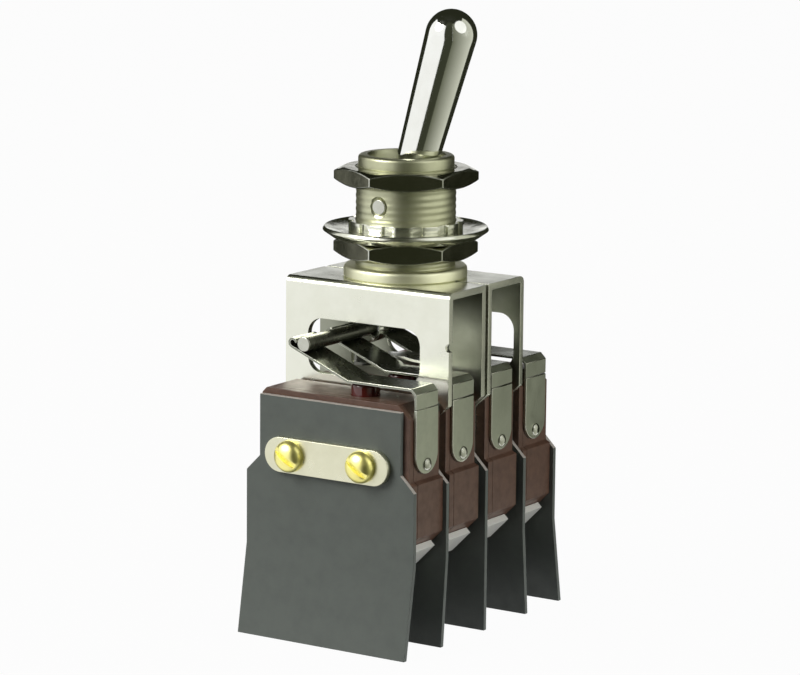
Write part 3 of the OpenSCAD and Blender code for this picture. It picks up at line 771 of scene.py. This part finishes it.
for nut in ("lower_nut", "upper_nut"):
    # The rounded rims take the bright steel colour as a painted highlight.
    rounded_piece(nut, NUT_EDGE, NUT_NICKEL, STEEL_AND_RIM_HIGHLIGHT, least_turn=45)
rounded_piece("locating_ring", RING_EDGE, RING_STEEL)
rounded_piece("lock_washer", WASHER_EDGE, RING_STEEL)

# ---------------------------------------------------------------------------
# Channels
# Two stampings of stainless sheet, bent to an inverted U and held side by side by the
# bushing. Their windows let the lever's bar reach the outer switches. The outside is
# polished. The inside is duller, and painted much darker as painted shade within the bend.
# ---------------------------------------------------------------------------
CHANNEL_EDGE = 0.1 * MM
CHANNEL_SKIN = 0.1 * MM
CHANNEL_STEEL = surface(
    "channel_steel", color=(0.83, 0.84, 0.74), tint=(0.6, 0.61, 0.48), amount=0.3,
    roughness=0.2, spread=0.1, scale=160, bump=0.05, metallic=1,
)
# Painted shade: the inside faces are coloured far darker than the outside, for the shadow under
# the bend.
CHANNEL_INSIDE_SHADE = surface(
    "channel_inside_shade", color=(0.3, 0.31, 0.25), tint=(0.18, 0.19, 0.14), amount=0.4,
    roughness=0.34, spread=0.1, scale=200, bump=0.08, metallic=1,
)


def inside_channel(face, low, high):
    """Tells a face inside the bend by its place between the corners of the channel's box."""
    between = low.y + CHANNEL_SKIN < face.center.y < high.y - CHANNEL_SKIN
    below = face.center.z < high.z - CHANNEL_SKIN
    return between and below and abs(face.normal.x) < 0.7


for node in ("front_channel", "rear_channel"):
    low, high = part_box(node)
    channel = rounded_piece(node, CHANNEL_EDGE, CHANNEL_STEEL)
    # Painted shade: faces inside the bend take the dark colour.
    refinish(channel, CHANNEL_INSIDE_SHADE, lambda face: inside_channel(face, low, high))

# ---------------------------------------------------------------------------
# Detent spring
# A strip of spring steel on the lower edges of the inner legs. The hump in its middle
# lies just under the path of the lever's end and holds the lever to either side.
# ---------------------------------------------------------------------------
SPRING_EDGE = 0.06 * MM
SPRING_STEEL = surface(
    "spring_steel", color=(0.6, 0.61, 0.57), tint=(0.3, 0.3, 0.25), amount=0.4,
    roughness=0.25, spread=0.12, scale=500, bump=0.08, metallic=1,
)
rounded_piece("detent_spring", SPRING_EDGE, SPRING_STEEL)

# ---------------------------------------------------------------------------
# Switches
# Four cases of brown moulded phenolic, each closed by a cover on its front face. A dark
# red plunger stands out of the top, over a copper snap blade, and three tinned terminals
# leave at the bottom.
# ---------------------------------------------------------------------------
SWITCHES = range(1, 5)
CASE_EDGE = 0.22 * MM
COVER_EDGE = 0.18 * MM
TERMINAL_EDGE = 0.06 * MM
BLADE_EDGE = 0.04 * MM
PLUNGER_EDGE = 0.5 * MM
FLANGE_REACH = 0.3 * MM
FLANGE_HEIGHT = 0.5 * MM
CASE_PHENOLIC = surface(
    "case_phenolic", color=(0.122, 0.063, 0.041), tint=(0.055, 0.025, 0.015), amount=0.6,
    roughness=0.38, spread=0.1, scale=700, bump=0.2,
)
PLUNGER_RED = surface(
    "plunger_red", color=(0.11, 0.012, 0.01), tint=(0.07, 0.007, 0.006), amount=0.4,
    roughness=0.1, spread=0.06, scale=500, bump=0.04, coat=0.6,
)
TINNED = surface(
    "terminal_metal", color=(0.92, 0.92, 0.88), tint=(0.7, 0.7, 0.62), amount=0.3,
    roughness=0.38, spread=0.12, scale=500, bump=0.1, metallic=0.25,
)
COPPER = surface(
    "contact_copper", color=(0.75, 0.5, 0.26), tint=(0.4, 0.25, 0.12), amount=0.35,
    roughness=0.25, spread=0.12, scale=500, bump=0.1, metallic=1,
)


def plunger(node):
    """A round button with a rounded top, and a flange that stays inside the case."""
    low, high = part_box(node)
    half = (high.z - low.z) / 2
    flange = (high.x - low.x) / 2
    stem = flange - FLANGE_REACH
    lip = FLANGE_HEIGHT - half
    foot = [(stem, lip), (flange, lip), (flange, -half), (0, -half)]
    profile = rod_end(stem, half, PLUNGER_EDGE) + foot
    turned_piece(node, profile, Matrix.Identity(4), PLUNGER_RED)


for number in SWITCHES:
    rounded_piece(f"switch_case_{number}", CASE_EDGE, CASE_PHENOLIC)
    rounded_piece(f"switch_cover_{number}", COVER_EDGE, CASE_PHENOLIC)
    plunger(f"plunger_{number}")
    rounded_piece(f"terminals_{number}", TERMINAL_EDGE, TINNED)
    rounded_piece(f"snap_blade_{number}", BLADE_EDGE, COPPER)

# ---------------------------------------------------------------------------
# Leaf actuators
# A strip of dark spring steel over each plunger, bent to a slope that ends in a roll. It
# turns at the top edge of a steel bracket, which is riveted to the end of the case. The
# sheared edges of both are rounded and painted bright, a painted highlight.
# ---------------------------------------------------------------------------
LEAF_EDGE = 0.06 * MM
BRACKET_EDGE = 0.14 * MM
RIVET_EDGE = 0.05 * MM
SPRING_LEAF = surface(
    "spring_leaf", color=(0.27, 0.285, 0.23), tint=(0.17, 0.18, 0.14), amount=0.4,
    roughness=0.22, spread=0.1, scale=400, bump=0.08, metallic=1,
)
LEAF_STEEL = surface(
    "leaf_steel", color=(0.5, 0.53, 0.43), tint=(0.3, 0.32, 0.25), amount=0.45,
    roughness=0.3, spread=0.12, scale=400, bump=0.1, metallic=1,
)


def over_bracket(face):
    """Tells the leaf's turned-down end, which has the same finish as the bracket."""
    return face.normal.x > 0.6 and face.material_index == 0


for number in SWITCHES:
    # Painted highlight: the rounded rims of bracket and leaf take the bright steel colour.
    rounded_piece(f"leaf_bracket_{number}", BRACKET_EDGE, LEAF_STEEL, STEEL_AND_RIM_HIGHLIGHT)
    leaf = rounded_piece(f"leaf_{number}", LEAF_EDGE, SPRING_LEAF, STEEL_AND_RIM_HIGHLIGHT)
    refinish(leaf, LEAF_STEEL, over_bracket)
rounded_piece("leaf_rivets", RIVET_EDGE, STEEL_AND_RIM_HIGHLIGHT)

# ---------------------------------------------------------------------------
# Barriers
# Five sheets of smooth grey insulating board, cut with a wider skirt that shields the
# terminals. The outer skirts lean out. Their upward faces along the cut upper edges are
# painted paler, a painted highlight.
# ---------------------------------------------------------------------------
BARRIERS = range(1, 6)
BARRIER_EDGE = 0.16 * MM
BARRIER_GREY = surface(
    "barrier_grey", color=(0.108, 0.124, 0.112), tint=(0.086, 0.099, 0.091), amount=0.5,
    roughness=0.45, spread=0.12, scale=420, bump=0.15,
)
# Painted highlight: a pale colour for the boards' upward faces, where light falls on the top
# edges.
BOARD_TOP_HIGHLIGHT = surface(
    "board_top_highlight", color=(0.5, 0.46, 0.42), tint=(0.34, 0.32, 0.29), amount=0.5,
    roughness=0.5, spread=0.1, scale=420, bump=0.2,
)
for number in BARRIERS:
    board = rounded_piece(f"barrier_{number}", BARRIER_EDGE, BARRIER_GREY)
    # Painted highlight: every face that turns upward takes the pale colour.
    refinish(board, BOARD_TOP_HIGHLIGHT, lambda face: face.normal.z > 0.3)

# ---------------------------------------------------------------------------
# Clamping hardware
# Two nickel-plated straps with round ends, and two long brass screws with slotted round
# heads that clamp the stack against the rear nuts.
# ---------------------------------------------------------------------------
STRAP_EDGE = 0.12 * MM
SCREW_EDGE = 0.06 * MM
STACK_NUT_EDGE = 0.12 * MM
STRAP_NICKEL = surface(
    "strap_nickel", color=(0.76, 0.75, 0.57), tint=(0.5, 0.49, 0.34), amount=0.3,
    roughness=0.26, spread=0.12, scale=300, bump=0.1, metallic=1,
)
BRASS = surface(
    "screw_brass", color=(1.0, 0.93, 0.34), tint=(0.78, 0.64, 0.18), amount=0.25,
    roughness=0.3, spread=0.1, scale=450, bump=0.06, metallic=1,
)
for strap in ("front_strap", "rear_strap"):
    rounded_piece(strap, STRAP_EDGE, STRAP_NICKEL)
rounded_piece("stack_screws", SCREW_EDGE, BRASS)
rounded_piece("stack_nuts", STACK_NUT_EDGE, BRASS)
